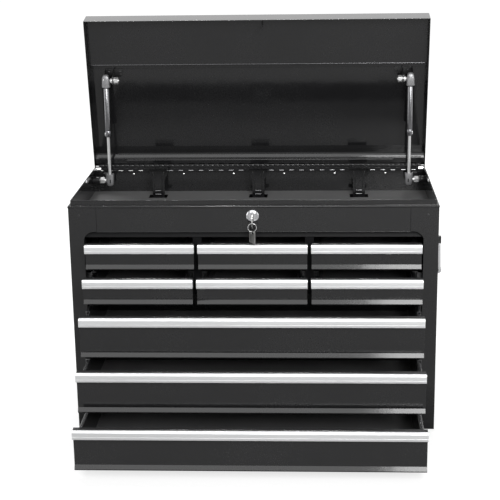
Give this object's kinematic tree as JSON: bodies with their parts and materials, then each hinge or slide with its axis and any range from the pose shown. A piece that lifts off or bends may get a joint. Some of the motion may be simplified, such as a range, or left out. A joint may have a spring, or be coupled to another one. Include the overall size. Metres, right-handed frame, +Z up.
{
  "type": "machinist tool chest",
  "caption": "Sheet steel top chest: open lid on gas struts over a tray, small drawers in upper rows and full width drawers below, lock bars, lock and side handles.",
  "frame": {"origin": "middle of the footprint of the case, on its flat underside", "axes": "+X to the right seen from the front, +Y to the back, +Z up"},
  "size_m": [0.691, 0.5556, 0.7342],
  "materials": {
    "black_paint": "gloss",
    "aluminium_pull": "satin anodised",
    "zinc_slide": "bright zinc",
    "hinge_steel": "plated",
    "strut_rod": "polished, with a grey plastic lower socket",
    "strut_tube": "grey paint, with a grey plastic upper socket",
    "lock_chrome": "polished",
    "key_steel": "nickel plated",
    "black_bar": "satin",
    "black_bracket": "satin",
    "handle_grip": "bright plated bail with a plated grip tube",
    "zinc_stud": "bright zinc, with a black spacer and bracket"
  },
  "bodies": {
    "case": {"side_left": "black_paint", "side_right": "black_paint", "back_panel": "black_paint", "base_panel": "black_paint", "front_header": "black_paint", "tray_floor": "black_paint", "top_rim": "black_paint", "column_left": "black_paint", "column_right": "black_paint", "slide_outers": "zinc_slide", "hinge_leaf_case": "hinge_steel", "case_studs": "zinc_stud", "lock_housing": "lock_chrome", "handle_mounts": "black_bracket"},
    "lid": {"lid_shell": "black_paint", "lid_channel": "black_paint", "hinge_leaf_lid": "black_paint", "lid_studs": "zinc_stud"},
    "strut_rod_left_body": {"strut_rod_left": "strut_rod"},
    "strut_tube_left_body": {"strut_tube_left": "strut_tube"},
    "strut_rod_right_body": {"strut_rod_right": "strut_rod"},
    "strut_tube_right_body": {"strut_tube_right": "strut_tube"},
    "drawer_1_left": {"drawer_1_left_box": "black_paint", "drawer_1_left_pull": "aluminium_pull", "drawer_1_left_runners": "zinc_slide"},
    "drawer_1_centre": {"drawer_1_centre_box": "black_paint", "drawer_1_centre_pull": "aluminium_pull", "drawer_1_centre_runners": "zinc_slide"},
    "drawer_1_right": {"drawer_1_right_box": "black_paint", "drawer_1_right_pull": "aluminium_pull", "drawer_1_right_runners": "zinc_slide"},
    "drawer_2_left": {"drawer_2_left_box": "black_paint", "drawer_2_left_pull": "aluminium_pull", "drawer_2_left_runners": "zinc_slide"},
    "drawer_2_centre": {"drawer_2_centre_box": "black_paint", "drawer_2_centre_pull": "aluminium_pull", "drawer_2_centre_runners": "zinc_slide"},
    "drawer_2_right": {"drawer_2_right_box": "black_paint", "drawer_2_right_pull": "aluminium_pull", "drawer_2_right_runners": "zinc_slide"},
    "drawer_3": {"drawer_3_box": "black_paint", "drawer_3_pull": "aluminium_pull", "drawer_3_runners": "zinc_slide"},
    "slide_middle_3_body": {"slide_middle_3": "zinc_slide"},
    "drawer_4": {"drawer_4_box": "black_paint", "drawer_4_pull": "aluminium_pull", "drawer_4_runners": "zinc_slide"},
    "slide_middle_4_body": {"slide_middle_4": "zinc_slide"},
    "drawer_5": {"drawer_5_box": "black_paint", "drawer_5_pull": "aluminium_pull", "drawer_5_runners": "zinc_slide"},
    "slide_middle_5_body": {"slide_middle_5": "zinc_slide"},
    "lock_plug_body": {"lock_plug": "lock_chrome", "key": "key_steel"},
    "key_ring_body": {"key_ring": "key_steel"},
    "lock_bar_1_body": {"lock_bar_1": "black_bar"},
    "lock_bar_2_body": {"lock_bar_2": "black_bar"},
    "lock_bar_3_body": {"lock_bar_3": "black_bar"},
    "handle_left_body": {"handle_left": "handle_grip"},
    "handle_right_body": {"handle_right": "handle_grip"}
  },
  "joints": [
    {"name": "lid_hinge", "type": "hinge", "parent": "case", "child": "lid", "pos_m": [0, 0.1509, 0.4353], "axis": [-1, 0, 0], "range_deg": [-79.4, 0], "stiffness_Nm_per_rad": 1.45, "springref_deg": 59.99},
    {"name": "strut_rod_left_pivot", "type": "hinge", "parent": "case", "child": "strut_rod_left_body", "pos_m": [-0.295, 0.127, 0.411], "axis": [-1, 0, 0], "range_deg": [-78, 0]},
    {"name": "strut_tube_left_slide", "type": "slide", "parent": "strut_rod_left_body", "child": "strut_tube_left_body", "axis": [0, -0.013, 0.9999], "range_m": [-0.04335, 0]},
    {"name": "strut_rod_right_pivot", "type": "hinge", "parent": "case", "child": "strut_rod_right_body", "pos_m": [0.295, 0.127, 0.411], "axis": [-1, 0, 0], "range_deg": [-78, 0]},
    {"name": "strut_tube_right_slide", "type": "slide", "parent": "strut_rod_right_body", "child": "strut_tube_right_body", "axis": [0, -0.013, 0.9999], "range_m": [-0.04335, 0]},
    {"name": "drawer_1_left_slide", "type": "slide", "parent": "case", "child": "drawer_1_left", "axis": [0, -1, 0], "range_m": [-0.01939, 0.16061]},
    {"name": "drawer_1_centre_slide", "type": "slide", "parent": "case", "child": "drawer_1_centre", "axis": [0, -1, 0], "range_m": [-0.01939, 0.16061]},
    {"name": "drawer_1_right_slide", "type": "slide", "parent": "case", "child": "drawer_1_right", "axis": [0, -1, 0], "range_m": [-0.01939, 0.16061]},
    {"name": "drawer_2_left_slide", "type": "slide", "parent": "case", "child": "drawer_2_left", "axis": [0, -1, 0], "range_m": [-0.05739, 0.12261]},
    {"name": "drawer_2_centre_slide", "type": "slide", "parent": "case", "child": "drawer_2_centre", "axis": [0, -1, 0], "range_m": [-0.05739, 0.12261]},
    {"name": "drawer_2_right_slide", "type": "slide", "parent": "case", "child": "drawer_2_right", "axis": [0, -1, 0], "range_m": [-0.05739, 0.12261]},
    {"name": "drawer_3_slide", "type": "slide", "parent": "case", "child": "drawer_3", "axis": [0, -1, 0], "range_m": [-0.11091, 0.12509]},
    {"name": "slide_middle_3_slide", "type": "slide", "parent": "case", "child": "slide_middle_3_body", "axis": [0, -1, 0], "range_m": [-0.05546, 0.06254]},
    {"name": "drawer_4_slide", "type": "slide", "parent": "case", "child": "drawer_4", "axis": [0, -1, 0], "range_m": [-0.1636, 0.0724]},
    {"name": "slide_middle_4_slide", "type": "slide", "parent": "case", "child": "slide_middle_4_body", "axis": [0, -1, 0], "range_m": [-0.0818, 0.0362]},
    {"name": "drawer_5_slide", "type": "slide", "parent": "case", "child": "drawer_5", "axis": [0, -1, 0], "range_m": [-0.22111, 0.01489]},
    {"name": "slide_middle_5_slide", "type": "slide", "parent": "case", "child": "slide_middle_5_body", "axis": [0, -1, 0], "range_m": [-0.11056, 0.00744]},
    {"name": "lock_turn", "type": "hinge", "parent": "case", "child": "lock_plug_body", "pos_m": [0, -0.148, 0.407], "axis": [0, 1, 0], "range_deg": [0, 90]},
    {"name": "key_ring_swing", "type": "hinge", "parent": "lock_plug_body", "child": "key_ring_body", "pos_m": [0, -0.166, 0.3998], "axis": [-1, 0, 0], "range_deg": [-15, 60]},
    {"name": "lock_bar_1_slide", "type": "slide", "parent": "case", "child": "lock_bar_1_body", "axis": [0, 0, 1], "range_m": [-0.01, 0]},
    {"name": "lock_bar_2_slide", "type": "slide", "parent": "case", "child": "lock_bar_2_body", "axis": [0, 0, 1], "range_m": [-0.01, 0]},
    {"name": "lock_bar_3_slide", "type": "slide", "parent": "case", "child": "lock_bar_3_body", "axis": [0, 0, 1], "range_m": [-0.01, 0]},
    {"name": "handle_left_swing", "type": "hinge", "parent": "case", "child": "handle_left_body", "pos_m": [-0.3375, 0, 0.343], "axis": [0, 1, 0], "range_deg": [0, 95]},
    {"name": "handle_right_swing", "type": "hinge", "parent": "case", "child": "handle_right_body", "pos_m": [0.3375, 0, 0.343], "axis": [0, -1, 0], "range_deg": [0, 95]}
  ],
  "couplings": [
    {"joint": "strut_rod_left_pivot", "follows": "lid_hinge", "ratio": 0.98223},
    {"joint": "strut_tube_left_slide", "follows": "lid_hinge", "m_per_rad": 0.031266},
    {"joint": "strut_rod_right_pivot", "follows": "lid_hinge", "ratio": 0.98223},
    {"joint": "strut_tube_right_slide", "follows": "lid_hinge", "m_per_rad": 0.031266},
    {"joint": "slide_middle_3_slide", "follows": "drawer_3_slide", "ratio": 0.5},
    {"joint": "slide_middle_4_slide", "follows": "drawer_4_slide", "ratio": 0.5},
    {"joint": "slide_middle_5_slide", "follows": "drawer_5_slide", "ratio": 0.5},
    {"joint": "lock_bar_1_slide", "follows": "lid_hinge", "m_per_rad": 0.0072161},
    {"joint": "lock_bar_2_slide", "follows": "lid_hinge", "m_per_rad": 0.0072161},
    {"joint": "lock_bar_3_slide", "follows": "lid_hinge", "m_per_rad": 0.0072161}
  ]
}
